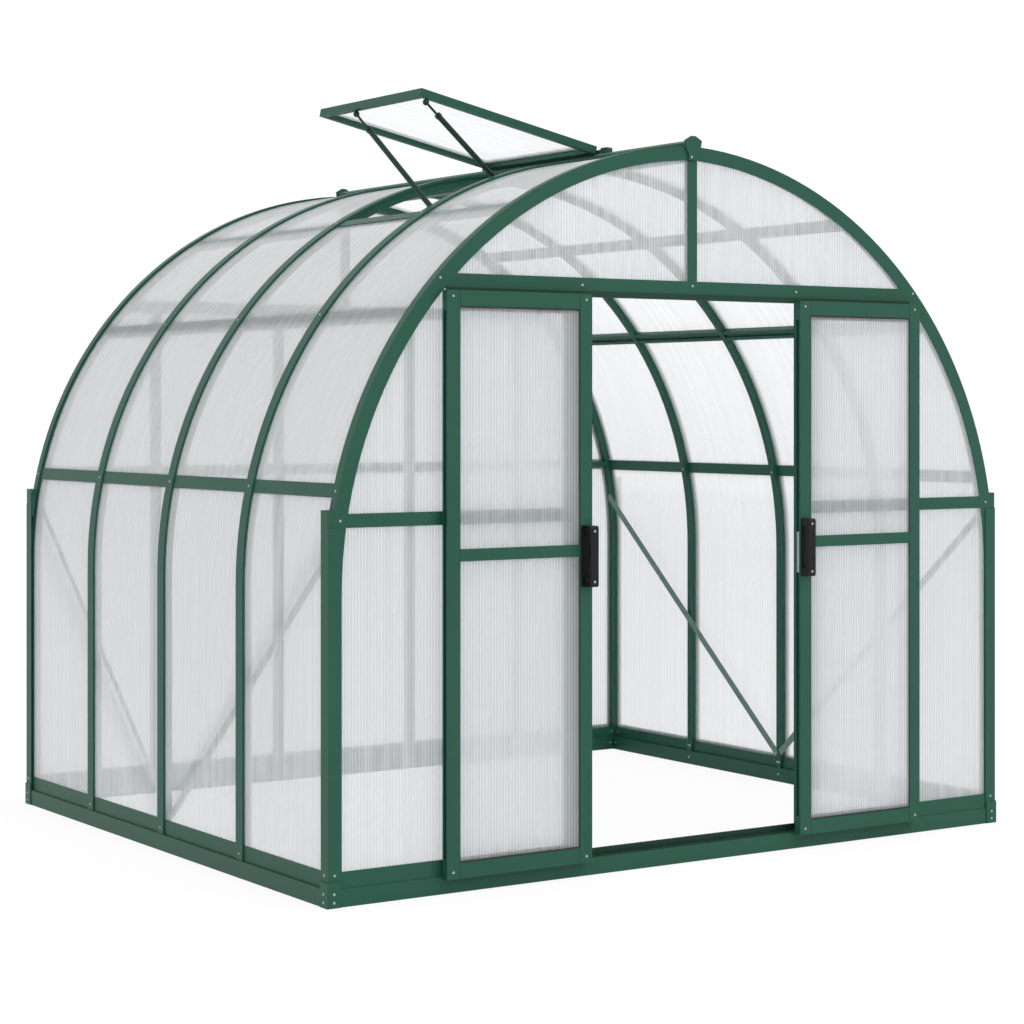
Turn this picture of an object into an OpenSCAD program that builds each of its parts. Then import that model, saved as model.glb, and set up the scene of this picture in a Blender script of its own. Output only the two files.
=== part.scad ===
// Arched walk-in greenhouse: a powder-coated bar frame glazed with twin-wall sheet,
// two sliding door leaves on the front gable and one roof vent propped open.
// Front is -Y, the ridge runs along Y, and the base rests on z = 0.

/* [House] */
// Width across the base
house_w = 2600; // [2200:10:3000]
// Depth of the base from front to back
house_d = 2200; // [1800:10:2800]
// Height at which the side walls start to curve
spring_h = 880; // [760:10:960]
// Height of the arches' outer edge at the ridge
crown_h = 2228; // [2140:4:2400]

/* [Base] */
// Height of the base rails
base_h = 52; // [40:1:80]
// Depth of the base rails from outside to inside
base_depth = 40; // [36:1:60]
// Wall of the base rails, which are tubes
base_wall = 2.5; // [2:0.5:4]
// Thickness of the corner plates
corner_t = 3; // [2:0.5:4]
// Length of each arm of a corner plate
corner_arm = 42; // [30:1:80]
// How far a corner plate reaches above the base
corner_rise = 22; // [10:1:40]

/* [Arches and ribs] */
// Width of the gable arches seen from the front
arch_w = 44; // [42:1:56]
// Depth of the gable arches along the house
arch_d = 32; // [26:1:40]
// Radial depth of the arches' and ribs' box
rib_depth = 36; // [30:1:38]
// Width of the ribs' outer cap
cap_w = 44; // [36:1:60]
// Thickness of the ribs' outer cap
cap_t = 8; // [6:0.5:10]
// Width of the ribs' box
web_w = 24; // [16:1:30]
// Thickness of the frame's flat flanges
flange_t = 3; // [2:0.5:4]
// How far a flange laps over the edge of a sheet
lap = 10; // [7:0.5:12]
// Height of the corner post sleeves
sleeve_top = 1124; // [1113:1:1150]
// Width of a corner post sleeve on the front and back
sleeve_w = 44; // [36:1:60]
// Depth of a corner post sleeve along the house
sleeve_d = 41; // [34:1:60]
// Height of the brackets that hold the arches to the corner posts
bracket_h = 96; // [60:1:120]
// Radius of the brackets' outer top corner
bracket_r = 16; // [8:1:22]
// Widest part of those brackets, between arch and corner post
bracket_w = 30; // [20:1:36]

/* [Ridge] */
// Width of the ridge beam
ridge_w = 54; // [44:1:60]
// How far the ridge beam reaches below the crown
ridge_drop = 44; // [38:1:60]
// How far the ridge beam stands above the crown
ridge_top = 18; // [12:1:24]
// How far the ridge beam's shoulders stand above the crown
ridge_shoulder = 10; // [4:1:16]
// Width of the ridge beam's flat top
ridge_flat = 27; // [16:1:40]
// Width of the caps on the ends of the ridge
ridge_cap_w = 66; // [56:1:90]
// How far the peak of a ridge cap stands above the crown
ridge_cap_top = 32; // [28:1:40]
// Width of a ridge cap's flat peak
ridge_peak_w = 16; // [8:1:24]
// Width of a ridge cap just below the crown
ridge_neck_w = 54; // [44:1:66]
// How far a ridge cap's wide part reaches below the crown
ridge_cap_drop = 24; // [16:1:34]
// Thickness of the ridge end caps
ridge_cap_t = 6; // [4:1:10]

/* [Side rails] */
// Height of the middle of the eave rails
eave_h = 1180; // [1150:5:1240]
// Face height of the eave rails, roof bars and vent sill
rail_h = 40; // [34:1:50]
// How far the lower roof bars lie below the crown
bar_low_drop = 528; // [440:4:700]
// How far the vent sill and the upper roof bars lie below the crown
sill_drop = 196; // [170:2:240]
// Radial depth of the inner roof bars
bar_depth = 20; // [14:1:26]
// Width of the slot along the inner roof bars
bar_slot_w = 14; // [8:1:18]
// Depth of the slot along the inner roof bars
bar_slot_d = 7; // [4:1:10]
// Face height of the bottom rails
bottom_rail_h = 48; // [40:1:60]
// Radial place of the bottom rails' inner face
bottom_rail_in = 25; // [20:1:30]
// Width of the flat braces in the side walls
brace_w = 25; // [16:1:32]
// Thickness of the flat braces
brace_t = 3; // [2:0.5:4]

/* [Front and back gables] */
// How far the header beams' underside lies below the crown
lunette_h = 466; // [420:2:520]
// Face height of the header beams
header_h = 45; // [36:1:56]
// Width of the mullions above the headers
mullion_w = 36; // [30:1:50]
// Underside of the rails beside the doorway
mid_rail_z = 1073; // [900:1:1090]
// Face height of the rails beside the doorway
mid_rail_h = 40; // [30:1:50]
// Face width of the door posts
jamb_w = 48; // [40:1:60]
// Face width of the posts in the back gable
back_post_w = 40; // [34:1:50]
// Distance of the inner back posts from the middle
back_post_in = 290; // [240:5:340]
// Distance of the outer back posts from the middle
back_post_out = 800; // [720:5:860]
// Height of the sill's upstand in the doorway
sill_rise = 22; // [12:1:30]
// Height of the track that the door leaves run along
track_h = 18; // [12:1:24]
// How far the track laps up over the header's face
track_lap = 4; // [3:0.5:8]
// How far the track stands off the header
track_t = 4; // [3:0.5:4]

/* [Sheets] */
// Thickness of the twin-wall sheets
sheet_t = 6; // [4:1:8]

/* [Door leaves] */
// Distance of an open leaf's outer edge from the side of the house
side_clear = 377; // [360:1:460]
// How far an open leaf still reaches over its closed place
leaf_lap = 107; // [90:1:160]
// How far a closed leaf reaches past the edge of its door post
post_cover = 78; // [60:1:84]
// Thickness of a door leaf
leaf_t = 26; // [22:1:32]
// Gap between a door leaf and the base, and under the header
leaf_gap = 6; // [5:0.5:8]
// How far the leaves hang below the top of the base
leaf_hang = 6; // [0:1:20]
// Width of the grooves along the edges of the leaves' stiles
groove_w = 14; // [8:1:16]
// Depth of those grooves
groove_d = 8; // [4:1:12]
// Length of the plain ends above and below a groove
groove_end = 60; // [30:5:120]
// Width of the joint between a stile and a rail
seam = 1.2; // [0.6:0.1:2]
// Width of the leaves' runner blocks
runner_w = 24; // [16:1:30]
// Height of the leaves' runner blocks
runner_h = 14; // [10:1:20]
// Face width of the leaves' stiles
stile_w = 44; // [40:1:56]
// Face height of the leaves' top and bottom rails
leaf_rail_h = 46; // [36:1:60]
// Underside of the leaves' middle rail
leaf_mid_z = 967; // [800:1:1060]
// Face height of the leaves' middle rail
leaf_mid_h = 36; // [34:1:50]

/* [Door handles] */
// Length of a pull handle
handle_l = 184; // [140:1:240]
// Width of a pull handle
handle_w = 38; // [20:1:40]
// How far a pull handle stands off the leaf
handle_d = 38; // [28:1:50]
// Width of a pull handle's grip, set towards the other leaf
grip_w = 29; // [16:1:34]
// Thickness of a pull handle's grip
grip_t = 12; // [8:1:16]
// Length of the solid part at each end of a pull handle
grip_foot = 24; // [16:1:40]
// Thickness of the plate that a pull handle stands on
handle_plate_t = 4; // [3:0.5:6]
// Radius of the grip's outer corners
grip_r = 8; // [4:1:11]
// Height of the middle of the pull handles
handle_z = 968; // [900:1:1050]

/* [Roof vent] */
// Length of the vent sash from hinge to free edge
sash_l = 690; // [680:5:740]
// Distance of the vent's hinge from the middle of the ridge
hinge_in = 14; // [6:1:22]
// Thickness of the vent sash
sash_t = 26; // [20:1:32]
// Face width of the sash bars
sash_bar = 30; // [28:1:40]
// How far the sash reaches past the middle of the ribs beside it
sash_over = 50; // [10:5:80]
// Slope of the open vent above level
sash_tilt = 12; // [8:0.5:25]
// Diameter of the stays' tubes
stay_d = 18; // [12:1:22]
// Diameter of the collars at the tubes' upper ends
collar_d = 22; // [16:1:28]
// Length of those collars
collar_l = 10; // [6:1:20]
// Diameter of the stays' rods
rod_d = 8; // [5:1:10]
// Diameter of the eye blocks at both ends of a stay
eye_d = 21; // [14:1:26]
// Share of a stay's length that is tube
tube_share = 0.82; // [0.7:0.01:0.9]
// Share of the sash's width that lies in front of the rear stay's head
head_share = 0.65; // [0.5:0.01:0.8]
// How far inside the vent sill the lower stay stands
stay_in = 48; // [30:1:100]
// Distance of the upper stay's foot from the ridge, as a share of the lower one's
stay_high = 0.6; // [0.5:0.01:0.7]

/* [Hidden] */

// Fits and small clearances
fit = 0.3;        // between seated pieces
curve_fit = 0.5;  // between a flat bar and a bent sheet
cut = 1;          // how far a cut runs past the faces that it opens
smooth = 240;     // facets of the large arcs
round_fn = 32;    // facets of small round parts

// Frame colours
green = [0.20, 0.36, 0.30];
dark_green = [0.13, 0.26, 0.21];
clear_sheet = [0.86, 0.89, 0.90];
black = [0.07, 0.07, 0.07];

// Plan: bay 1 is at the front, rib 0 is the front arch and rib 4 the back arch
bays = 4;
side_plane = house_w / 2 - flange_t;
door_reach = leaf_gap + leaf_t + handle_d;
base_front_y = (door_reach - corner_t - house_d) / 2;
front_y = base_front_y + flange_t;
back_y = base_front_y + house_d - flange_t;
bay_l = (back_y - front_y) / bays;

// Arch: each side is one arc that starts upright and meets its twin at the ridge.
// A house wider than that allows gets one arc across both sides instead.
rise = crown_h - spring_h;
pointed = rise >= side_plane;
chord_sq = rise * rise + side_plane * side_plane;
arc_r = chord_sq / (2 * min(rise, side_plane));
arc_back = pointed ? arc_r - side_plane : 0;
arc_base = pointed ? spring_h : crown_h - arc_r;

// Radial places, measured inwards from the arches' outer edge
sheet_in = cap_t + fit;
sheet_out = sheet_in + sheet_t;
bar_in = sheet_out + curve_fit;

// Heights that hang from the crown
header_z = crown_h - lunette_h;
sill_h = crown_h - sill_drop;
bar_low_h = crown_h - bar_low_drop;
beam_z = crown_h - ridge_drop;

// Door leaves: where they stand open, and the doorway that they close
leaf_w = (house_w / 2 - side_clear + leaf_lap) / 2;
open_half = house_w / 2 - side_clear - leaf_w;
doorway_half = leaf_w - post_cover;

function rib_y(k) = front_y + k * bay_l;
function bay_start(k) = k == 1 ? front_y + arch_d + fit : rib_y(k - 1) + web_w / 2 + fit;
function bay_end(k) = k == bays ? back_y - arch_d - fit : rib_y(k) - web_w / 2 - fit;
function arc_x(z, inset) = sqrt(pow(arc_r - inset, 2) - pow(z - arc_base, 2)) - arc_back;
function arc_z(x, inset) = arc_base + sqrt(pow(arc_r - inset, 2) - pow(x + arc_back, 2));
function turn_at(z) = asin((z - arc_base) / arc_r);
function swing(length) = length / arc_r * 180 / PI;

// ---- Shared shapes ----

// Extrudes a shape drawn in X and Z from y0 to y1
module along_y(y0, y1) {
    translate([0, y1, 0])
        rotate([90, 0, 0])
            linear_extrude(y1 - y0)
                children();
}

// The gable outline, shrunk by an inset
module outline(inset) {
    w = side_plane - inset;
    translate([-w, 0])
        square([2 * w, spring_h]);
    intersection() {
        intersection_for (side = [-1, 1])
            translate([side * arc_back, arc_base])
                circle(r = arc_r - inset, $fn = smooth);
        translate([-w, spring_h])
            square([2 * w, arc_r]);
    }
}

// A band that follows the outline between two insets, cut at the base and the ridge
module band(outer, inner) {
    difference() {
        outline(outer);
        outline(inner);
        translate([-house_w, -cut])
            square([2 * house_w, base_h + cut]);
        translate([-ridge_w / 2 - fit, spring_h])
            square([ridge_w + 2 * fit, arc_r]);
    }
}

// A shape drawn about the right side's arc centre at a turn above level:
// X points outwards and the arc lies at X = arc_r
module on_arc(turn) {
    translate([-arc_back, arc_base])
        rotate(turn)
            children();
}

// Everything on the right side that lies below a turn, or above it
module below_turn(turn) {
    on_arc(turn)
        translate([0, -2 * arc_r])
            square([2 * arc_r, 2 * arc_r]);
}

module above_turn(turn) {
    on_arc(turn)
        square([2 * arc_r, 2 * arc_r]);
}

module on_side(side) {
    mirror([side < 0 ? 1 : 0, 0, 0])
        children();
}

// The front gable's pieces are drawn with their face at y = 0 and the house behind it
module on_gable(back) {
    translate([0, back ? back_y : front_y, 0])
        mirror([0, back ? 1 : 0, 0])
            children();
}

module bar_rect(x0, x1, z0, z1) {
    translate([x0, z0])
        square([x1 - x0, z1 - z0]);
}

// A gable bar: a thin face and a narrower box behind it, both cut along the arch
module gable_bar(x0, x1, z0, z1, lap_x0, lap_x1, lap_z0, lap_z1) {
    along_y(0, flange_t)
        intersection() {
            outline(arch_w + fit);
            bar_rect(x0, x1, z0, z1);
        }
    along_y(flange_t, arch_d)
        intersection() {
            outline(rib_depth + fit);
            bar_rect(x0 + lap_x0, x1 - lap_x1, z0 + lap_z0, z1 - lap_z1);
        }
}

// A sheet in a gable, cut along the arch and held behind the bars' faces
module gable_sheet(x0, x1, z0, z1) {
    along_y(flange_t + fit, flange_t + fit + sheet_t)
        difference() {
            intersection() {
                outline(rib_depth + fit);
                bar_rect(x0 + fit, x1 - fit, z0 + fit, z1 - fit);
            }
            bar_rect(-ridge_w / 2 - fit, ridge_w / 2 + fit, beam_z - fit, crown_h);
        }
}

// A round or flat bar from one point to another
module reach(a, b) {
    d = b - a;
    translate(a)
        rotate([0, acos(d[2] / norm(d)), atan2(d[1], d[0])])
            children();
}

// ---- Base ----

// A base tube along X or Y, open at its ends
module base_tube(size, axis) {
    bore = [for (i = [0:2]) i == axis ? size[i] + 2 * cut : size[i] - 2 * base_wall];
    place = [for (i = [0:2]) i == axis ? -cut : base_wall];
    difference() {
        cube(size);
        translate(place)
            cube(bore);
    }
}

module base_front() {
    color(green)
        translate([-house_w / 2, base_front_y, 0])
            base_tube([house_w, base_depth, base_h], 0);
}

module base_back() {
    color(green)
        translate([-house_w / 2, base_front_y + house_d - base_depth, 0])
            base_tube([house_w, base_depth, base_h], 0);
}

module base_side(side) {
    color(green)
        translate([side < 0 ? -house_w / 2 : house_w / 2 - base_depth, base_front_y + base_depth + fit, 0])
            base_tube([base_depth, house_d - 2 * (base_depth + fit), base_h], 1);
}

module base_left() { base_side(-1); }

module base_right() { base_side(1); }

// An angle plate's plan: two arms around an outer corner at the origin, the house towards -X and +Y
module angle_plan(arm_x, arm_y, thick) {
    translate([-arm_x, -thick])
        square([arm_x + thick, thick]);
    translate([0, -thick])
        square([thick, arm_y + thick]);
}

module at_corners() {
    for (side = [-1, 1], back = [false, true])
        on_side(side)
            translate([0, back ? base_front_y + house_d : base_front_y, 0])
                mirror([0, back ? 1 : 0, 0])
                    translate([house_w / 2, 0, 0])
                        children();
}

module corner_plates() {
    color(green)
        at_corners()
            linear_extrude(base_h + corner_rise)
                angle_plan(corner_arm, corner_arm, corner_t);
}

// Corner posts around the arches' upright ends: the front arm stops under the gable's
// middle rail, the side arm runs on to a bracket that fills the gap to the arch
module corner_sleeves() {
    inner = sleeve_d - flange_t;
    color(green)
        at_corners() {
            translate([-flange_t, flange_t, base_h + fit]) {
                linear_extrude(mid_rail_z - base_h - fit)
                    angle_plan(sleeve_w - flange_t, inner, flange_t);
                linear_extrude(sleeve_top - base_h - fit)
                    translate([0, fit])
                        square([flange_t, inner - fit]);
            }
            translate([-house_w / 2, flange_t, 0])
                along_y(fit, inner)
                    arch_bracket();
        }
}

// The space between the arch and the corner post's side, with a rounded outer corner
module arch_bracket() {
    outer = house_w / 2;
    difference() {
        hull() {
            bar_rect(0, outer - bracket_r, sleeve_top - bracket_h, sleeve_top);
            bar_rect(outer - bracket_r, outer, sleeve_top - bracket_h, sleeve_top - bracket_r);
            translate([outer - bracket_r, sleeve_top - bracket_r])
                circle(r = bracket_r, $fn = round_fn);
        }
        outline(-fit);
        bar_rect(0, outer - bracket_w, 0, sleeve_top + cut);
    }
}

// ---- Arches, ribs and ridge ----

module gable_arch() {
    along_y(0, flange_t)
        band(0, arch_w);
    along_y(flange_t, arch_d)
        band(0, rib_depth);
    along_y(arch_d, arch_d + lap)
        band(cap_t - flange_t, cap_t);
}

module front_arch() {
    color(green)
        on_gable(false)
            gable_arch();
}

module back_arch() {
    color(green)
        on_gable(true)
            gable_arch();
}

module rib(k) {
    color(green) {
        along_y(rib_y(k) - cap_w / 2, rib_y(k) + cap_w / 2)
            band(0, cap_t);
        along_y(rib_y(k) - web_w / 2, rib_y(k) + web_w / 2)
            band(cap_t, rib_depth);
    }
}

module rib_1() { rib(1); }

module rib_2() { rib(2); }

module rib_3() { rib(3); }

module ridge_beam() {
    color(green)
        along_y(front_y, back_y)
            polygon([
                [-ridge_w / 2, beam_z],
                [ridge_w / 2, beam_z],
                [ridge_w / 2, crown_h + ridge_shoulder],
                [ridge_flat / 2, crown_h + ridge_top],
                [-ridge_flat / 2, crown_h + ridge_top],
                [-ridge_w / 2, crown_h + ridge_shoulder]
            ]);
}

// House-shaped plates that close both ends of the ridge, each with a tab down over the arch's joint
module ridge_caps() {
    color(green)
        for (back = [false, true])
            on_gable(back)
                along_y(-ridge_cap_t, 0)
                    for (side = [0, 1])
                        mirror([side, 0])
                            polygon([
                                [0, crown_h - arch_w],
                                [mullion_w / 2, crown_h - arch_w],
                                [mullion_w / 2, crown_h - ridge_cap_drop],
                                [ridge_neck_w / 2, crown_h - ridge_cap_drop / 2],
                                [ridge_cap_w / 2, crown_h + ridge_top],
                                [ridge_peak_w / 2, crown_h + ridge_cap_top],
                                [0, crown_h + ridge_cap_top]
                            ]);
}

// ---- Rails on the sides and roof ----

// Section of a rail that joins two sheets edge to edge: outer flange, web and inner flange
module joint_rail(side, turn, k) {
    web_h = rail_h - 2 * lap;
    on_side(side) {
        along_y(bay_start(k) + lap + fit, bay_end(k) - lap - fit)
            on_arc(turn)
                translate([arc_r - cap_t, -rail_h / 2])
                    square([flange_t, rail_h]);
        along_y(bay_start(k), bay_end(k))
            on_arc(turn)
                union() {
                    translate([arc_r - bar_in, -web_h / 2])
                        square([bar_in - cap_t, web_h]);
                    translate([arc_r - bar_in - flange_t, -rail_h / 2])
                        square([flange_t, rail_h]);
                }
    }
}

// Section of a bar that runs under the sheets between two ribs
module roof_bar(side, turn, k) {
    on_side(side)
        along_y(bay_start(k), bay_end(k))
            on_arc(turn)
                difference() {
                    translate([arc_r - bar_in - bar_depth, -rail_h / 2])
                        square([bar_depth, rail_h]);
                    translate([arc_r - bar_in - bar_depth - cut, -bar_slot_w / 2])
                        square([bar_slot_d + cut, bar_slot_w]);
                }
}

module eave_rail_left() {
    color(green)
        for (k = [1:bays])
            joint_rail(-1, turn_at(eave_h), k);
}

module eave_rail_right() {
    color(green)
        for (k = [1:bays])
            joint_rail(1, turn_at(eave_h), k);
}

// The vent takes the place of the left upper bar in its bay
vent_bay = 2;

module roof_bars_left() {
    color(green)
        for (k = [1:bays]) {
            roof_bar(-1, turn_at(bar_low_h), k);
            if (k != vent_bay)
                roof_bar(-1, turn_at(sill_h), k);
        }
}

module roof_bars_right() {
    color(green)
        for (k = [1:bays], z = [bar_low_h, sill_h])
            roof_bar(1, turn_at(z), k);
}

module vent_sill() {
    color(green)
        joint_rail(-1, turn_at(sill_h), vent_bay);
}

// Upright face lapped over the sheet's lower edge, with a box behind it on the base
module bottom_rail(side, k) {
    on_side(side) {
        along_y(bay_start(k) + lap + fit, bay_end(k) - lap - fit)
            bar_rect(side_plane - cap_t, side_plane - cap_t + flange_t, base_h, base_h + bottom_rail_h);
        along_y(bay_start(k), bay_end(k))
            bar_rect(side_plane - bottom_rail_in, side_plane - cap_t, base_h, base_h + bottom_rail_h - lap);
    }
}

module bottom_rail_left() {
    color(green)
        for (k = [1:bays])
            bottom_rail(-1, k);
}

module bottom_rail_right() {
    color(green)
        for (k = [1:bays])
            bottom_rail(1, k);
}

// Flat braces from both corner posts down to the foot of the middle rib
module side_braces(side) {
    seat = rib_depth + fit + brace_t / 2;
    top_seat = seat + fit;
    top_z = mid_rail_z - brace_w;
    foot_z = base_h + bottom_rail_h + brace_w / 2;
    foot_y = rib_y(bays / 2);
    color(green)
        on_side(side)
            for (way = [-1, 1]) {
                end_in = arch_d - brace_w / 2;
                top = [arc_x(top_z, top_seat), way < 0 ? front_y + end_in : back_y - end_in, top_z];
                foot = [side_plane - seat, foot_y + way * brace_w / 2, foot_z];
                reach(foot, top)
                    flat_brace(norm(top - foot));
            }
}

module flat_brace(length) {
    translate([-brace_w / 2, -brace_t / 2, 0])
        cube([brace_w, brace_t, length]);
}

module side_braces_left() { side_braces(-1); }

module side_braces_right() { side_braces(1); }

// ---- Gables ----

leg_x = side_plane;
mid_rail_top = mid_rail_z + mid_rail_h;
header_top = header_z + header_h;
jamb_out = doorway_half + jamb_w;
bottom_top = base_h + bottom_rail_h;
back_rail_z = eave_h - rail_h / 2;
back_rail_top = back_rail_z + rail_h;

module header(back) {
    on_gable(back)
        gable_bar(-leg_x, leg_x, header_z, header_top, 0, 0, lap, lap);
}

module mullion(back) {
    on_gable(back)
        gable_bar(-mullion_w / 2, mullion_w / 2, header_top + fit, beam_z - fit, lap, lap, 0, 0);
}

module header_beam() {
    color(green)
        header(false);
}

module gable_mullion() {
    color(green)
        mullion(false);
}

module door_posts() {
    color(green)
        on_gable(false)
            for (side = [-1, 1])
                on_side(side)
                    gable_bar(doorway_half, jamb_out, base_h, header_z - fit, 0, lap, 0, 0);
}

module front_rails() {
    color(green)
        on_gable(false)
            for (side = [-1, 1])
                on_side(side) {
                    gable_bar(jamb_out + fit, leg_x, base_h, bottom_top, -lap, 0, 0, lap);
                    gable_bar(jamb_out + fit, leg_x, mid_rail_z, mid_rail_top, -lap, 0, lap, lap);
                }
}

// Threshold channel between the door posts, with an upstand at its inner edge
module door_sill() {
    span = 2 * (doorway_half - fit);
    color(dark_green)
        on_gable(false)
            translate([-span / 2, 0, base_h]) {
                cube([span, arch_d, flange_t]);
                translate([0, arch_d - flange_t, 0])
                    cube([span, flange_t, sill_rise]);
            }
}

// Bar along the header's lower edge that the leaves' runners bear on
module door_track() {
    half = arc_x(header_z + track_lap, arch_w + fit);
    color(dark_green)
        on_gable(false)
            along_y(-track_t, 0)
                bar_rect(-half, half, header_z + track_lap - track_h, header_z + track_lap);
}

// Edges of the sheets in the back gable, from the middle outwards
back_stops = [back_post_in, back_post_out];

module back_posts() {
    color(green)
        on_gable(true)
            for (side = [-1, 1], x = back_stops)
                on_side(side) {
                    half_w = back_post_w / 2;
                    gable_bar(x - half_w, x + half_w, bottom_top + fit, back_rail_z - fit, lap, lap, -lap, -lap);
                    gable_bar(x - half_w, x + half_w, back_rail_top + fit, header_z - fit, lap, lap, -lap, -lap);
                }
}

module back_rails() {
    color(green) {
        on_gable(true) {
            gable_bar(-leg_x, leg_x, base_h, bottom_top, 0, 0, 0, lap);
            gable_bar(-leg_x, leg_x, back_rail_z, back_rail_top, 0, 0, lap, lap);
        }
        header(true);
        mullion(true);
    }
}

// ---- Sheets ----

// A bent or flat sheet on one side of the house, cut by a region drawn in X and Z
module side_sheet(side, k) {
    on_side(side)
        along_y(bay_start(k), bay_end(k))
            intersection() {
                band(sheet_in, sheet_out);
                children();
            }
}

rail_half_turn = swing(rail_h / 2 - lap + fit);

module wall_sheet(side, k) {
    side_sheet(side, k)
        intersection() {
            below_turn(turn_at(eave_h) - rail_half_turn);
            bar_rect(0, house_w, bottom_top - lap + fit, crown_h);
        }
}

module roof_sheet(side, k) {
    side_sheet(side, k)
        intersection() {
            above_turn(turn_at(eave_h) + rail_half_turn);
            bar_rect(0, house_w, spring_h, crown_h);
            if (side < 0 && k == vent_bay)
                below_turn(turn_at(sill_h) - rail_half_turn);
        }
}

module wall_sheets_left() {
    color(clear_sheet)
        for (k = [1:bays])
            wall_sheet(-1, k);
}

module wall_sheets_right() {
    color(clear_sheet)
        for (k = [1:bays])
            wall_sheet(1, k);
}

module roof_sheets_left() {
    color(clear_sheet)
        for (k = [1:bays])
            roof_sheet(-1, k);
}

module roof_sheets_right() {
    color(clear_sheet)
        for (k = [1:bays])
            roof_sheet(1, k);
}

// The two sheets above a header
module lunettes() {
    for (side = [-1, 1])
        on_side(side)
            gable_sheet(mullion_w / 2 - lap, leg_x, header_top - lap, crown_h);
}

module front_sheets() {
    color(clear_sheet)
        on_gable(false) {
            for (side = [-1, 1])
                on_side(side) {
                    gable_sheet(jamb_out - lap, leg_x, bottom_top - lap, mid_rail_z + lap);
                    gable_sheet(jamb_out - lap, leg_x, mid_rail_top - lap, header_z + lap);
                }
            lunettes();
        }
}

module back_sheets() {
    edge = back_post_w / 2 - lap;
    spans = [
        [-back_post_out + edge, -back_post_in - edge],
        [-back_post_in + edge, back_post_in - edge],
        [back_post_in + edge, back_post_out - edge],
        [back_post_out + edge, leg_x],
        [-leg_x, -back_post_out - edge]
    ];
    color(clear_sheet)
        on_gable(true) {
            for (s = spans) {
                gable_sheet(s[0], s[1], bottom_top - lap, back_rail_z + lap);
                gable_sheet(s[0], s[1], back_rail_top - lap, header_z + lap);
            }
            lunettes();
        }
}

// ---- Door leaves ----

leaf_front = base_front_y - leaf_gap - leaf_t;
leaf_bottom = base_h - leaf_hang;
leaf_top = header_z - leaf_gap;

// The left leaf as it stands; the right leaf is its mirror image
module on_leaf(side) {
    on_side(side)
        translate([open_half, leaf_front, 0])
            children();
}

// A leaf's ring and middle rail, with a border taken off every pane
module leaf_grid(border) {
    difference() {
        bar_rect(0, leaf_w, leaf_bottom, leaf_top);
        bar_rect(stile_w - border, leaf_w - stile_w + border,
                 leaf_bottom + leaf_rail_h - border, leaf_mid_z + border);
        bar_rect(stile_w - border, leaf_w - stile_w + border,
                 leaf_mid_z + leaf_mid_h - border, leaf_top - leaf_rail_h + border);
    }
}

// A leaf's frame: grooved stiles, rails between them, and runner blocks behind both stiles
// at the track and at the base
module leaf_frame(side) {
    top_reach = leaf_gap + flange_t - track_t - fit;
    low_reach = leaf_gap - fit;
    groove_l = leaf_top - leaf_bottom - 2 * groove_end;
    color(green)
        on_leaf(side) {
            along_y(0, flange_t)
                difference() {
                    leaf_grid(0);
                    for (x = [stile_w, leaf_w - stile_w - seam])
                        bar_rect(x, x + seam, leaf_bottom - cut, leaf_top + cut);
                }
            difference() {
                along_y(flange_t, leaf_t)
                    leaf_grid(lap);
                for (x = [-groove_d, leaf_w - groove_d])
                    translate([x, (leaf_t - groove_w) / 2, leaf_bottom + groove_end])
                        cube([2 * groove_d, groove_w, groove_l]);
            }
            for (x = [0, leaf_w - stile_w]) {
                along_y(leaf_t, leaf_t + top_reach)
                    bar_rect(x, x + runner_w, leaf_top - runner_h, leaf_top);
                along_y(leaf_t, leaf_t + low_reach)
                    bar_rect(x, x + runner_w, leaf_bottom, leaf_bottom + runner_h);
            }
        }
}

module leaf_sheets(side) {
    left = stile_w - lap + fit;
    color(clear_sheet)
        on_leaf(side)
            along_y(flange_t + fit, flange_t + fit + sheet_t) {
                bar_rect(left, leaf_w - left, leaf_bottom + leaf_rail_h - lap + fit, leaf_mid_z + lap - fit);
                bar_rect(left, leaf_w - left, leaf_mid_z + leaf_mid_h - lap + fit,
                         leaf_top - leaf_rail_h + lap - fit);
            }
}

// A pull on a flat plate, on the stile that meets the other leaf, with a finger opening behind its grip
module leaf_handle(side) {
    color(black)
        on_leaf(side)
            translate([(stile_w - handle_w) / 2, 0, handle_z - handle_l / 2]) {
                translate([0, -handle_plate_t, 0])
                    cube([handle_w, handle_plate_t, handle_l]);
                translate([0, -handle_d, 0])
                    rotate([90, 0, 90])
                        linear_extrude(grip_w)
                            grip_profile();
            }
}

// The grip seen from the side: its outer face is at X = 0 and the leaf at X = handle_d
module grip_profile() {
    difference() {
        union() {
            translate([grip_r, 0])
                square([handle_d - grip_r, handle_l]);
            translate([0, grip_r])
                square([grip_r, handle_l - 2 * grip_r]);
            for (z = [grip_r, handle_l - grip_r])
                translate([grip_r, z])
                    circle(r = grip_r, $fn = round_fn);
        }
        translate([grip_t, grip_foot])
            square([handle_d - grip_t - handle_plate_t, handle_l - 2 * grip_foot]);
    }
}

module door_left_frame() { leaf_frame(-1); }

module door_left_sheets() { leaf_sheets(-1); }

module door_left_handle() { leaf_handle(-1); }

module door_right_frame() { leaf_frame(1); }

module door_right_sheets() { leaf_sheets(1); }

module door_right_handle() { leaf_handle(1); }

// ---- Roof vent ----

hinge_x = -hinge_in;
hinge_z = crown_h + ridge_top + fit;
sash_y0 = rib_y(vent_bay - 1) - sash_over;
sash_y1 = rib_y(vent_bay) + sash_over;

// Drawn level with the hinge at the origin and the free edge at X = -sash_l
module on_vent() {
    translate([hinge_x, 0, hinge_z])
        rotate([0, sash_tilt, 0])
            children();
}

module sash_ring(bar) {
    difference() {
        translate([-sash_l, sash_y0])
            square([sash_l, sash_y1 - sash_y0]);
        translate([-sash_l + bar, sash_y0 + bar])
            square([sash_l - 2 * bar, sash_y1 - sash_y0 - 2 * bar]);
    }
}

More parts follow.
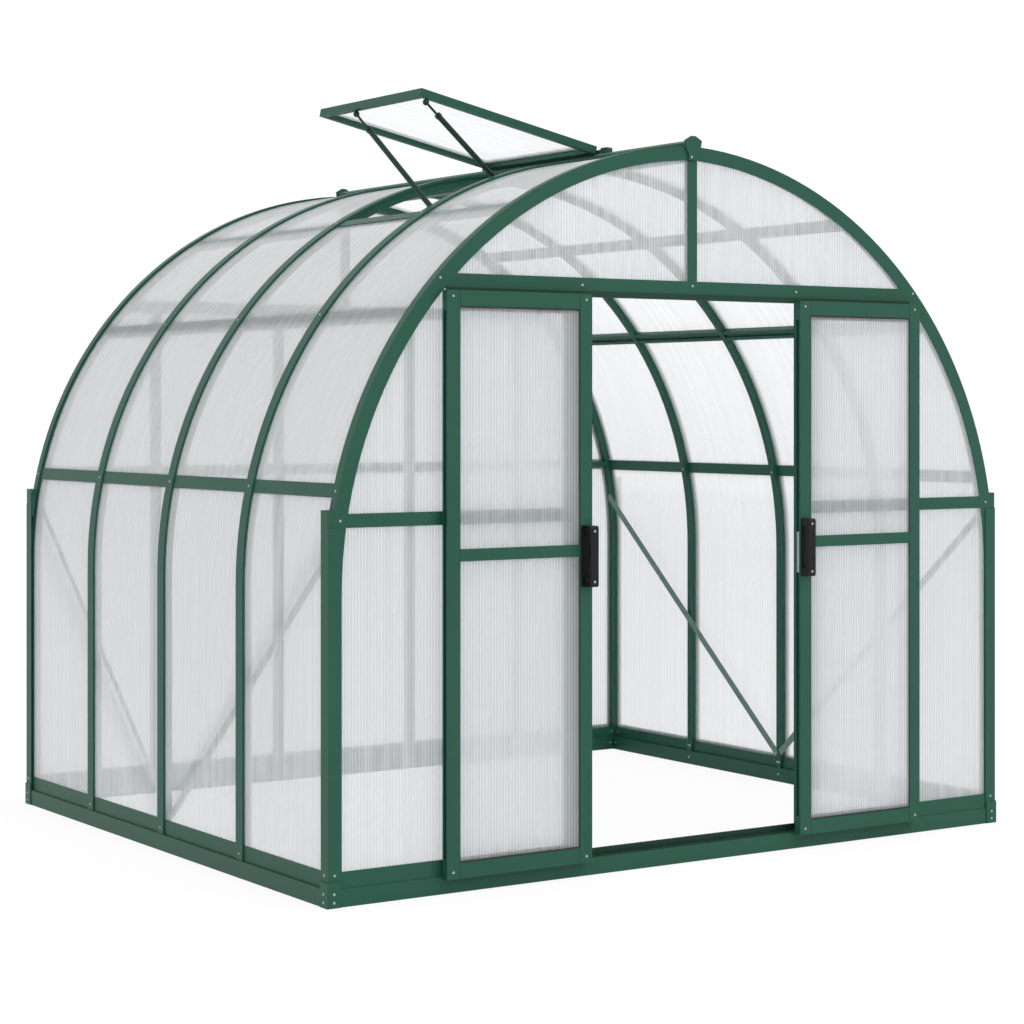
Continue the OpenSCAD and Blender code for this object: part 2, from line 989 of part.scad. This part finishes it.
module vent_frame() {
    color(green)
        on_vent() {
            linear_extrude(sash_t - flange_t)
                sash_ring(sash_bar - lap);
            translate([0, 0, sash_t - flange_t])
                linear_extrude(flange_t)
                    sash_ring(sash_bar);
        }
}

module vent_sheet() {
    edge = sash_bar - lap + fit;
    color(clear_sheet)
        on_vent()
            translate([-sash_l + edge, sash_y0 + edge, sash_t - flange_t - fit - sheet_t])
                cube([sash_l - 2 * edge, sash_y1 - sash_y0 - 2 * edge, sheet_t]);
}

// A stay: a tube with a collar, a thin rod above it and an eye block at both ends
module stay(foot, head) {
    length = norm(head - foot);
    tube_l = length * tube_share;
    reach(foot, head) {
        cylinder(d = stay_d, h = tube_l, $fn = round_fn);
        translate([0, 0, tube_l - collar_l / 2])
            cylinder(d = collar_d, h = collar_l, $fn = round_fn);
        cylinder(d = rod_d, h = length, $fn = round_fn);
    }
    for (end = [foot, head])
        translate(end)
            sphere(d = eye_d, $fn = round_fn);
}

// A point on the underside of the sash, at a distance from the hinge
function sash_point(s, y, drop) = [
    hinge_x - s * cos(sash_tilt) - drop * sin(sash_tilt),
    y,
    hinge_z + s * sin(sash_tilt) - drop * cos(sash_tilt)
];

module vent_stays() {
    clear = eye_d / 2 + fit;
    foot_y = rib_y(vent_bay - 1) + cap_w / 2 + clear;
    low_x = arc_x(sill_h, 0) - stay_in;
    high_x = low_x * stay_high;
    low_head_y = sash_y0 + (sash_y1 - sash_y0) * head_share;
    high_head_y = sash_y0 + (sash_bar - lap) / 2;
    color(dark_green) {
        stay([-low_x, foot_y, arc_z(low_x, cap_t / 2)], sash_point(sash_l - sash_bar / 2, low_head_y, clear));
        stay([-high_x, foot_y, arc_z(high_x, cap_t / 2)], sash_point(sash_l - sash_bar, high_head_y, clear));
    }
}

base_front();
base_back();
base_left();
base_right();
corner_plates();
corner_sleeves();
front_arch();
rib_1();
rib_2();
rib_3();
back_arch();
ridge_beam();
ridge_caps();
eave_rail_left();
eave_rail_right();
roof_bars_left();
roof_bars_right();
bottom_rail_left();
bottom_rail_right();
side_braces_left();
side_braces_right();
header_beam();
door_posts();
gable_mullion();
front_rails();
door_sill();
door_track();
back_posts();
back_rails();
wall_sheets_left();
wall_sheets_right();
roof_sheets_left();
roof_sheets_right();
front_sheets();
back_sheets();
door_left_frame();
door_left_sheets();
door_left_handle();
door_right_frame();
door_right_sheets();
door_right_handle();
vent_frame();
vent_sheet();
vent_sill();
vent_stays();
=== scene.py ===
"""Looks of an arched walk-in greenhouse: powder-coated frame, twin-wall sheets, steel screws."""
import math

import bpy
from mathutils import Matrix, Vector


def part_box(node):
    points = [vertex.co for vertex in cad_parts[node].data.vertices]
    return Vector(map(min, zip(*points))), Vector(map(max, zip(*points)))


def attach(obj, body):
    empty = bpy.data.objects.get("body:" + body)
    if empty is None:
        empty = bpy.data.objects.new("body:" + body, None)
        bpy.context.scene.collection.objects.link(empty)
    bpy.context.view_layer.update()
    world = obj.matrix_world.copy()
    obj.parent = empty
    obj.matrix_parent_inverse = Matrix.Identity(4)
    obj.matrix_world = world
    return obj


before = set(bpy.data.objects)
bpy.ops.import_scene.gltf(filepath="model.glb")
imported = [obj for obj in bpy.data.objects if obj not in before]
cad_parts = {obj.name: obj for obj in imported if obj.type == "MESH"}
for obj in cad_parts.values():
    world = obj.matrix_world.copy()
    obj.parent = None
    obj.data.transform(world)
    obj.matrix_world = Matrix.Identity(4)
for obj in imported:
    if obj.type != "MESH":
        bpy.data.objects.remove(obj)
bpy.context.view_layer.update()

# ---- Camera ----
# A standing person's view of the door gable and the left side, with a long lens held level.
# The image plane is shifted down a little so that upright bars stay upright.

eye = (-4.645, -7.049, 1.416)
eye_turn = -33.556  # degrees from looking straight at the back gable
lens, film = 85.254, 36  # millimetres
drop = 0.10254  # shift of the image plane, in film widths
bpy.ops.object.camera_add(
    location=eye, rotation=(math.radians(90), 0, math.radians(eye_turn)))
camera = bpy.context.object
camera.data.sensor_width = film
camera.data.lens = lens
camera.data.shift_y = -drop
camera.data.clip_end = 200
bpy.context.scene.camera = camera

# ---- Powder-coated frame ----
# Every bar of the house is extruded aluminium, most with a satin green powder coat baked on.
# The coat has a faint orange peel; the channels and stays are darker, on the door track as painted
# shade under the header. The thin braces are paler: bare grey aluminium, with a painted green
# reflection.


class Value:
    """A shader socket that arithmetic can be done on: each sum adds its Math node."""

    def __init__(self, finish, socket):
        self.finish = finish
        self.socket = socket

    def _math(self, operation, a, b):
        return self.finish.node("Math", {"operation": operation}, {0: a, 1: b})

    def __add__(self, other):
        return self._math("ADD", self, other)

    __radd__ = __add__

    def __sub__(self, other):
        return self._math("SUBTRACT", self, other)

    def __rsub__(self, other):
        return self._math("SUBTRACT", other, self)

    def __mul__(self, other):
        return self._math("MULTIPLY", self, other)

    __rmul__ = __mul__

    def __truediv__(self, other):
        return self._math("DIVIDE", self, other)

    def __pow__(self, other):
        return self._math("POWER", self, other)

    def wave(self):
        return self._math("SINE", self, 0.0)

    def at_most(self, other):
        return self._math("MINIMUM", self, other)

    def whole(self):
        return self._math("FLOOR", self, 0.0)


class Finish:
    """The nodes of one material, or of the world, built up one by one."""

    def __init__(self, name, store=bpy.data.materials):
        self.owner = store.new(name)
        self.owner.use_nodes = True
        self.tree = self.owner.node_tree
        self.tree.nodes.clear()

    def node(self, kind, settings=None, inputs=None, output=0):
        """Any node, with its settings, its inputs by name or number, and its output by number."""
        made = self.tree.nodes.new("ShaderNode" + kind)
        for name, value in (settings or {}).items():
            setattr(made, name, value)
        for name, value in (inputs or {}).items():
            if isinstance(value, Value):
                self.tree.links.new(value.socket, made.inputs[name])
            else:
                made.inputs[name].default_value = value
        return Value(self, made.outputs[output])

    def place(self, axis):
        """The point's X, Y or Z in the object's own frame, in metres."""
        here = self.node("TexCoord", output="Object")
        return self.node("SeparateXYZ", inputs={"Vector": here}, output=axis)

    def noise(self, scale, detail):
        """Cloudy noise with so many spots to the metre."""
        here = self.node("TexCoord", output="Object")
        return self.node("TexNoise", inputs={"Vector": here, "Scale": scale, "Detail": detail})

    def blend(self, factor, first, second):
        """A colour between two others."""
        return self.node("Mix", {"data_type": "RGBA"}, {0: factor, 6: first, 7: second}, output=2)

    def finish_with(self, shader, kind="Material"):
        """Ends the nodes with the output node, which has no socket of its own to hand back."""
        out = self.tree.nodes.new("ShaderNodeOutput" + kind)
        self.tree.links.new(shader.socket, out.inputs["Surface"])
        return self.owner


def dress(piece, finish):
    """Gives a piece one material and no other."""
    piece.data.materials.clear()
    piece.data.materials.append(finish)


def powder_coat(name, pale, deep):
    """Satin powder coat, clouded between two shades, with a fine orange peel."""
    coat = Finish(name)
    cloud = coat.noise(2.2, 3.0)
    peel = coat.noise(900.0, 1.0)
    colour = coat.blend(cloud, deep, pale)
    bump = coat.node("Bump", inputs={"Strength": 0.06, "Distance": 0.0004, "Height": peel})
    return coat.finish_with(coat.node("BsdfPrincipled", inputs={
        "Base Color": colour,
        "Roughness": 0.36 + 0.10 * cloud,
        "Normal": bump,
        "Specular IOR Level": 0.2,
    }))


green_coat = powder_coat(
    "green powder coat", (0.0185, 0.087, 0.0575, 1), (0.013, 0.072, 0.0465, 1))
# darker coat of the sill and stays; on the door track it is painted shade under the header
dark_coat_and_painted_shade = powder_coat(
    "dark green powder coat, painted shade on the track", (0.011, 0.043, 0.029, 1), (0.007, 0.032, 0.021, 1))
# the braces are bare grey aluminium; the green in this paler colour is a painted reflection
bare_grey_and_painted_reflection = powder_coat(
    "bare grey aluminium, painted green reflection", (0.140, 0.225, 0.188, 1), (0.115, 0.195, 0.160, 1))

# the door track's darker coat is painted shade, standing in for the shadow under the header
dark_and_shaded_nodes = ("door_track", "door_sill", "vent_stays")
for name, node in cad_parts.items():
    if "sheet" not in name and "handle" not in name:
        # the braces' green tint is a painted reflection on bare grey aluminium
        bar_coat_and_painted_reflection = bare_grey_and_painted_reflection if "brace" in name else green_coat
        dress(node, dark_coat_and_painted_shade if name in dark_and_shaded_nodes else bar_coat_and_painted_reflection)

# ---- Twin-wall sheets ----
# Two clear polycarbonate skins held apart by thin webs every 10 mm or so. The webs draw fine lines
# along the sheet, which run up the walls and over the roof, and break up what stands behind.

flute = 0.0105
sheet_white = (0.95, 0.955, 0.962, 1)
web_grey = (0.80, 0.815, 0.825, 1)
clear_tint = (0.960, 0.966, 0.970, 1)
haze_tint = (0.96, 0.965, 0.972, 1)
web_sharpness = 5.0  # how narrow the webs look beside the flutes
web_cover = 0.34  # what a web hides, beyond the skins
flute_cover = 0.06  # how much one flute may hide beyond the next
pair_haze = 0.16  # how much one pair of flutes may scatter beyond the next
back_lit = 0.4  # share of the skins' light that comes through from behind
lamp_pass = 0.85  # how much less the skins hide from the lamps than from the eye


def twin_wall(name, axis, milk_share, haze_share):
    """Twin-wall sheet whose flutes repeat along one axis, 0 for X or 1 for Y.

    Its skins hide milk_share of what stands behind, and scatter haze_share of the rest.
    """
    sheet = Finish(name)
    turns = sheet.place(axis) / flute
    wave = (turns * (2 * math.pi)).wave()
    web = (0.5 + 0.5 * wave) ** web_sharpness
    odd = sheet.node("TexWhiteNoise", {"noise_dimensions": "1D"}, {"W": turns.whole()})
    pair = sheet.node("TexWhiteNoise", {"noise_dimensions": "1D"}, {"W": (turns / 2).whole()})
    bump = sheet.node("Bump", inputs={"Strength": 0.3, "Distance": 0.0008, "Height": wave})
    skin = sheet.node("BsdfPrincipled", inputs={
        "Base Color": sheet.blend(web, sheet_white, web_grey),
        "Roughness": 0.32,
        "Normal": bump,
        "Specular IOR Level": 0.4,
    })
    scatter = sheet.node("BsdfTranslucent", inputs={"Color": sheet_white})
    milk = sheet.node("MixShader", inputs={0: back_lit, 1: skin, 2: scatter})

    # some of the light is scattered, so far things lose their contrast and near ones keep it
    bare = sheet.node("BsdfTransparent", inputs={"Color": clear_tint})
    haze = sheet.node("BsdfTranslucent", inputs={"Color": haze_tint})
    shadow_ray = sheet.node("LightPath", output="Is Shadow Ray")
    through = sheet.node("MixShader", inputs={
        0: (haze_share + pair_haze * pair) * (1 - shadow_ray), 1: bare, 2: haze})
    cover = (milk_share + web_cover * web + flute_cover * odd) * (1 - lamp_pass * shadow_ray)
    return sheet.finish_with(sheet.node("MixShader", inputs={0: cover, 1: through, 2: milk}))


side_sheet = twin_wall("twin-wall sheet, side", 1, 0.12, 0.30)
roof_sheet = twin_wall("twin-wall sheet, roof", 1, 0.20, 0.30)
gable_sheet = twin_wall("twin-wall sheet, gable", 0, 0.12, 0.22)
for name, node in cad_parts.items():
    if "sheet" in name:
        upright = gable_sheet if name.startswith(("front", "back", "door")) else side_sheet
        dress(node, roof_sheet if name.startswith(("roof", "vent")) else upright)

# ---- Door pulls ----
# Moulded black plastic pulls with a lightly grained face, one on the meeting stile of each
# leaf. Two bright screws through its ends hold each of them.

plastic = Finish("black moulded plastic")
grain = plastic.noise(1400.0, 2.0)
black_plastic = plastic.finish_with(plastic.node("BsdfPrincipled", inputs={
    "Base Color": plastic.blend(grain, (0.0045, 0.005, 0.005, 1), (0.009, 0.0095, 0.0095, 1)),
    "Roughness": 0.38 + 0.16 * grain,
    "Specular IOR Level": 0.2,
    "Normal": plastic.node("Bump", inputs={"Strength": 0.25, "Distance": 0.0003, "Height": grain}),
}))
for name in ("door_left_handle", "door_right_handle"):
    dress(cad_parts[name], black_plastic)

# ---- Screws ----
# Bright zinc-plated pan-head screws with a sunk drive hold every joint of the frame.
# One is modelled and copied to each place, standing on the face that it is driven into.

steel = Finish("bright zinc plate")
smear = steel.noise(400.0, 2.0)
bright_steel = steel.finish_with(steel.node("BsdfPrincipled", inputs={
    "Base Color": steel.blend(smear, (0.38, 0.40, 0.40, 1), (0.58, 0.60, 0.60, 1)),
    "Metallic": 1.0,
    "Roughness": 0.22 + 0.16 * smear,
}))

head_r = 0.0040
head_h = 0.0016
edge_bevel = head_h * 0.55
rim = head_r * 0.18
recess = head_h * 0.45


def clear_selection():
    bpy.ops.object.select_all(action="DESELECT")


def pick_faces(piece, test):
    """Selects the faces, in edit mode, whose centre and normal pass a test."""
    bpy.ops.object.mode_set(mode="OBJECT")
    mesh = piece.data
    mesh.vertices.foreach_set("select", [False] * len(mesh.vertices))
    mesh.edges.foreach_set("select", [False] * len(mesh.edges))
    for face in mesh.polygons:
        face.select = bool(test(face.center, face.normal))
    bpy.ops.object.mode_set(mode="EDIT")
    bpy.ops.mesh.select_mode(type="FACE")


def model_screw():
    """One screw's head at the origin, facing up."""
    clear_selection()
    bpy.ops.mesh.primitive_cylinder_add(
        vertices=16, radius=head_r, depth=head_h, location=(0, 0, head_h / 2))
    screw = bpy.context.object
    bpy.ops.object.transform_apply(location=True, rotation=True, scale=True)
    bpy.ops.object.mode_set(mode="EDIT")
    pick_faces(screw, lambda centre, normal: normal.z > 0.9)
    bpy.ops.mesh.bevel(offset=edge_bevel, segments=3, affect="EDGES")
    pick_faces(screw, lambda centre, normal: normal.z > 0.99 and centre.z > head_h * 0.9)
    bpy.ops.mesh.inset(thickness=rim)
    pick_faces(screw, lambda centre, normal: normal.z > 0.99 and centre.length < head_h * 1.1)
    bpy.ops.mesh.extrude_region_move(TRANSFORM_OT_translate={"value": (0, 0, -recess)})
    bpy.ops.mesh.select_all(action="SELECT")
    bpy.ops.mesh.normals_make_consistent(inside=False)
    bpy.ops.object.mode_set(mode="OBJECT")
    screw.data.materials.append(bright_steel)
    return screw


def drive_screws(name, body, places):
    """Copies the screw to each (point, outward direction) and joins the copies."""
    copies = []
    for point, outward in places:
        turn = Vector((0, 0, 1)).rotation_difference(Vector(outward)).to_matrix().to_4x4()
        copy = bpy.data.objects.new(name, pattern_screw.data.copy())
        copy.data.transform(Matrix.Translation(Vector(point)) @ turn)
        bpy.context.collection.objects.link(copy)
        copies.append(copy)
    clear_selection()
    for copy in copies:
        copy.select_set(True)
    bpy.context.view_layer.objects.active = copies[0]
    bpy.ops.object.join()
    joined = bpy.context.object
    joined.name = name
    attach(joined, body)


pattern_screw = model_screw()

front, back, left, right = (0, -1, 0), (0, 1, 0), (-1, 0, 0), (1, 0, 0)

arch_lo, arch_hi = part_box("front_arch")
back_lo, back_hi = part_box("back_arch")
gable_y = arch_lo.y
rear_y = back_hi.y
side = arch_hi.x
spring = 0.880  # height at which the straight walls begin to bend
crown = 2.228
rib_deep = 0.036
rise = crown - spring
arc_r = (rise ** 2 + side ** 2) / (2 * side)
arc_back = arc_r - side


def arch_x(z):
    """How far out the arches reach at a height."""
    if z <= spring:
        return side
    return math.sqrt(arc_r ** 2 - (z - spring) ** 2) - arc_back


def arch_out(z):
    """The arches' outward direction on the right side at a height."""
    slope = math.asin(max(0.0, z - spring) / arc_r)
    return Vector((math.cos(slope), 0, math.sin(slope)))


header_lo, header_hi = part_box("header_beam")
header_mid = (header_lo.z + header_hi.z) / 2
eave_lo, eave_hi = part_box("eave_rail_left")
eave_mid = (eave_lo.z + eave_hi.z) / 2
rib_ys = [(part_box(f"rib_{k}")[0].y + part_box(f"rib_{k}")[1].y) / 2 for k in (1, 2, 3)]
plate_lo, plate_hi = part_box("corner_plates")
sleeve_lo, sleeve_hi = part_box("corner_sleeves")
base_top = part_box("base_front")[1].z
mid_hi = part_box("front_rails")[1]


def on_arch(way, y, z):
    """A place on the outside of the roof's curve, and the direction out of it."""
    out = arch_out(z)
    return (way * arch_x(z), y, z), (way * out.x, 0, out.z)


def under_rib(way, y, z):
    """The place on the inner face of a rib behind it, and the direction into the house."""
    out = arch_out(z)
    inner = (way * (arch_x(z) - rib_deep * out.x), y, z - rib_deep * out.z)
    return inner, (-way * out.x, 0, -out.z)


arch_half = 0.016  # half an arch's width along the house
post_mid = 0.022  # from a corner to the middle of its posts and plates
sleeve_mid = 0.020  # the same on the sides of the posts' feet
rib_rows = (eave_mid, base_top + 0.020, 1.70, 2.03)
plate_rows = (0.016, 0.040)
sleeve_rows = (0.092,)
arch_row = mid_hi.z - 0.020
header_row = header_mid + 0.008
header_in = 0.024
header_aside = 0.42  # from the middle of the header to its screws on either side

house_screws = []
for way, out in ((-1, left), (1, right)):
    # ribs and eave rails, and the sides of both arches
    for y in rib_ys:
        house_screws += [on_arch(way, y, z) for z in rib_rows]
    for y in (gable_y + arch_half, rear_y - arch_half):
        house_screws.append(on_arch(way, y, eave_mid))
    # corner plates and the feet of the corner posts, on both faces of each corner
    for lo, hi, from_edge, rows in ((plate_lo, plate_hi, post_mid, plate_rows),
                                    (sleeve_lo, sleeve_hi, sleeve_mid, sleeve_rows)):
        for z in rows:
            house_screws += [
                ((way * (hi.x - post_mid), lo.y, z), front),
                ((way * (hi.x - post_mid), hi.y, z), back),
                ((way * hi.x, lo.y + from_edge, z), out),
                ((way * hi.x, hi.y - from_edge, z), out),
            ]
    # arch over the posts, and header on the arch
    header_x = way * (arch_x(header_mid) - header_in)
    house_screws += [
        ((way * (arch_x(arch_row) - post_mid), gable_y, arch_row), front),
        ((header_x, gable_y, header_row), front),
        ((header_x, rear_y, header_row), back),
        ((way * header_aside, gable_y, header_mid), front),
    ]

# the middle of both headers, and the ridge caps
cap_lo, cap_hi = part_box("ridge_caps")
cap_aside = 0.008
cap_row = cap_lo.z + 0.010
house_screws += [
    ((0, gable_y, header_row), front),
    ((0, rear_y, header_row), back),
    ((-cap_aside, cap_lo.y, cap_row), front),
    ((cap_aside, cap_hi.y, cap_row), back),
]

# the same screws on the inside, where rails, ribs and base tubes meet
inner_x = side - rib_deep
rail_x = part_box("bottom_rail_right")[0].x
base_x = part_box("base_right")[0].x
back_base_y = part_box("base_back")[0].y
back_rail_y = back_lo.y + 0.010
rail_row = base_top + 0.020
foot_row = base_top + 0.022
foot_front, foot_back = 0.005, 0.006
base_row = base_top - 0.024
corner_in = 0.016
for way, inward in ((-1, right), (1, left)):
    for y in rib_ys:
        house_screws += [
            under_rib(way, y, eave_mid),
            ((way * inner_x, y - foot_front, foot_row), inward),
            ((way * inner_x, y + foot_back, foot_row), inward),
            ((way * base_x, y, base_row), inward),
        ]
    corners = ((rail_x, back_rail_y, rail_row), (base_x, back_base_y, base_row))
    house_screws += [((way * x, back_base_y - corner_in, z), inward) for x, y, z in corners]
    house_screws += [((way * (x - corner_in), y, z), front) for x, y, z in corners]
drive_screws("house_screws", "house", house_screws)

stile_mid = 0.021  # from a leaf's edge to the middle of its stile
leaf_foot, leaf_head = 0.020, 0.018  # from a leaf's ends to its corner screws
pull_mid = 0.0145
pull_end = 0.016
for body, way in (("door_left", -1), ("door_right", 1)):
    leaf_lo, leaf_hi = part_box(body + "_frame")
    pull_lo, pull_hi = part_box(body + "_handle")
    near = leaf_hi.x if way < 0 else leaf_lo.x
    far = leaf_lo.x if way < 0 else leaf_hi.x
    leaf_screws = []
    for x in (near + way * stile_mid, far - way * stile_mid):
        for z in (leaf_lo.z + leaf_foot, leaf_hi.z - leaf_head):
            leaf_screws.append(((x, leaf_lo.y, z), front))
    pull_x = (pull_hi.x if way < 0 else pull_lo.x) + way * pull_mid
    for z in (pull_lo.z + pull_end, pull_hi.z - pull_end):
        leaf_screws.append(((pull_x, pull_lo.y, z), front))
    drive_screws(body + "_screws", body, leaf_screws)

bpy.data.objects.remove(pattern_screw, do_unlink=True)

# ---- Glazing of the door leaves ----
# A thin black rubber gasket seals the sheets against the leaf's face, and a broader rubber
# strip closes their open flutes at the top and the bottom from behind. Both are cut as rings.

rubber = Finish("black rubber")
bloom = rubber.noise(260.0, 2.0)
black_rubber = rubber.finish_with(rubber.node("BsdfPrincipled", inputs={
    "Base Color": rubber.blend(bloom, (0.010, 0.011, 0.011, 1), (0.022, 0.023, 0.023, 1)),
    "Roughness": 0.62 + 0.18 * bloom,
}))

stile = 0.044
leaf_rail = 0.046
side_w = 0.0022  # width of either ring beside the pane
gasket_h, gasket_in, gasket_t = 0.0050, 0.0010, 0.0022
strip_h, strip_in, strip_t = 0.014, 0.0096, 0.0030


def soften(piece, width, segments):
    """Rounds every edge of a finished piece."""
    rounding = piece.modifiers.new("rounding", "BEVEL")
    rounding.width = width
    rounding.segments = segments
    bpy.ops.object.modifier_apply(modifier="rounding")


def pane_ring(name, body, x_span, z_span, y, thickness, height):
    """A flat ring of rubber round a leaf's panes, as high as given at its top and bottom."""
    wide, tall = x_span[1] - x_span[0], z_span[1] - z_span[0]
    clear_selection()
    bpy.ops.mesh.primitive_plane_add(
        size=1,
        location=(sum(x_span) / 2, y, sum(z_span) / 2),
        rotation=(math.radians(90), 0, 0),
    )
    ring = bpy.context.object
    ring.name = name
    ring.scale = (wide, tall, 1)
    bpy.ops.object.transform_apply(location=True, rotation=True, scale=True)
    bpy.ops.object.mode_set(mode="EDIT")
    bpy.ops.mesh.select_all(action="SELECT")
    bpy.ops.mesh.inset(thickness=height)
    bpy.ops.transform.resize(value=((wide - 2 * side_w) / (wide - 2 * height), 1, 1))
    bpy.ops.mesh.delete(type="FACE")
    bpy.ops.object.mode_set(mode="OBJECT")
    strip = ring.modifiers.new("strip", "SOLIDIFY")
    strip.thickness = thickness
    strip.offset = -1
    bpy.ops.object.modifier_apply(modifier="strip")
    soften(ring, 0.0005, 2)
    ring.data.materials.append(black_rubber)
    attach(ring, body)


for body in ("door_left", "door_right"):
    leaf_lo, leaf_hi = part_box(body + "_frame")
    x_span = (leaf_lo.x + stile, leaf_hi.x - stile)
    z_span = (leaf_lo.z + leaf_rail, leaf_hi.z - leaf_rail)
    pane_ring(body + "_gasket", body, x_span, z_span, leaf_lo.y + gasket_in, gasket_t, gasket_h)
    pane_ring(body + "_bead", body, x_span, z_span, leaf_lo.y + strip_in, strip_t, strip_h)

# ---- Keeper of the latch ----
# A small bright steel plate let into the groove of the right leaf's meeting stile, where
# the latch of the left leaf hooks in. It is pressed from strip, with a slot for the hook.

leaf_lo, leaf_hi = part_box("door_right_frame")
keeper_t, keeper_w, keeper_h = 0.0016, 0.011, 0.130
keeper_in, keeper_z = 0.013, 0.952
hook_margin = 0.0028  # metal left round the slot for the hook
hook_depth = keeper_t * 0.6


def plain_box(name, size, centre):
    """A box to start a piece from, left in edit mode."""
    clear_selection()
    bpy.ops.mesh.primitive_cube_add(size=1, location=centre)
    piece = bpy.context.object
    piece.name = name
    piece.scale = size
    bpy.ops.object.transform_apply(location=True, rotation=True, scale=True)
    bpy.ops.object.mode_set(mode="EDIT")
    return piece


keeper = plain_box("latch_keeper", (keeper_t, keeper_w, keeper_h),
                   (leaf_lo.x + keeper_t, leaf_lo.y + keeper_in, keeper_z))
pick_faces(keeper, lambda centre, normal: normal.x < -0.9)
bpy.ops.mesh.inset(thickness=hook_margin)
bpy.ops.mesh.extrude_region_move(TRANSFORM_OT_translate={"value": (hook_depth, 0, 0)})
bpy.ops.object.mode_set(mode="OBJECT")
soften(keeper, 0.0004, 2)
keeper.data.materials.append(bright_steel)
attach(keeper, "door_right")

# ---- Hinge rail of the roof vent ----
# The sash turns in an extruded rail that is screwed along the top of the ridge beam. The rail
# runs a little past the sash, and a rounded lug closes each of its ends.

sash_lo, sash_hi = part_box("vent_frame")
ridge_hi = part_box("ridge_beam")[1]
hinge_x, hinge_w, hinge_up = 0.005, 0.016, 0.015
hinge_over = 0.012  # how far the rail runs past each end of the sash
neck, lug, nose = 0.003, 0.034, 0.010  # lengths of a lug's three steps
lug_rise = 0.002
lug_swell, nose_taper = (1.5, 1, 1.4), (0.55, 1, 0.6)

hinge = plain_box("vent_hinge_rail", (hinge_w, sash_hi.y - sash_lo.y + 2 * hinge_over, hinge_up),
                  (hinge_x, (sash_lo.y + sash_hi.y) / 2, ridge_hi.z + hinge_up / 2))
for way in (-1, 1):
    pick_faces(hinge, lambda centre, normal: normal.y * way > 0.9)
    bpy.ops.mesh.extrude_region_move(
        TRANSFORM_OT_translate={"value": (0, way * neck, lug_rise)})
    bpy.ops.transform.resize(value=lug_swell)
    bpy.ops.mesh.extrude_region_move(TRANSFORM_OT_translate={"value": (0, way * lug, 0)})
    bpy.ops.mesh.extrude_region_move(
        TRANSFORM_OT_translate={"value": (0, way * nose, -lug_rise)})
    bpy.ops.transform.resize(value=nose_taper)
bpy.ops.mesh.select_all(action="SELECT")
bpy.ops.mesh.normals_make_consistent(inside=False)
bpy.ops.object.mode_set(mode="OBJECT")
soften(hinge, 0.003, 3)
hinge.data.materials.append(green_coat)
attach(hinge, "house")

# ---- Floor ----
# A plain pale studio floor, which keeps the house's soft shadow. To the eye it glows almost
# as white as the room, and for the house's light it is a plain matt board.

clear_selection()
bpy.ops.mesh.primitive_plane_add(size=80, location=(0, 0, 0))
floor = bpy.context.object
floor.name = "floor"
glow_share = 0.88  # the rest of what the eye sees is the board as it is lit
paper = Finish("studio paper")
ray = paper.node("LightPath", output="Is Camera Ray")
gloss_ray = paper.node("LightPath", output="Is Glossy Ray")
clear_ray = paper.node("LightPath", output="Is Transmission Ray")
seen = (ray + gloss_ray + clear_ray).at_most(1.0)
lit = paper.node("BsdfDiffuse", inputs={"Color": (0.93, 0.93, 0.93, 1)})
glow = paper.node("Emission", inputs={"Color": (1, 1, 1, 1), "Strength": 1.0})
floor.data.materials.append(paper.finish_with(
    paper.node("MixShader", inputs={0: seen * glow_share, 1: lit, 2: glow})))

# ---- Light ----
# An even white room, and one wide soft lamp up to the right of the door. Both are kept at a
# level at which a colour comes out about as it is written.

room_light, room_seen = 1.0, 1.02
lamp_tilt, lamp_turn, lamp_spread = 42, 28, 50  # degrees
room = Finish("studio", bpy.data.worlds)
straight = room.node("LightPath", output="Is Camera Ray")
bent_before = room.node("LightPath", output="Is Transmission Ray")
soft = room.node("Background", inputs={"Color": (1, 1, 1, 1), "Strength": room_light})
plain = room.node("Background", inputs={"Color": (1, 1, 1, 1), "Strength": room_seen})
bpy.context.scene.world = room.finish_with(room.node("MixShader", inputs={
    0: (straight + bent_before).at_most(1.0), 1: soft, 2: plain}), "World")

bpy.ops.object.light_add(
    type="SUN", rotation=(math.radians(lamp_tilt), 0, math.radians(lamp_turn)))
lamp = bpy.context.object
lamp.data.energy = 1.0
lamp.data.angle = math.radians(lamp_spread)

scene = bpy.context.scene
scene.view_settings.view_transform = "Standard"
scene.cycles.transparent_max_bounces = 32
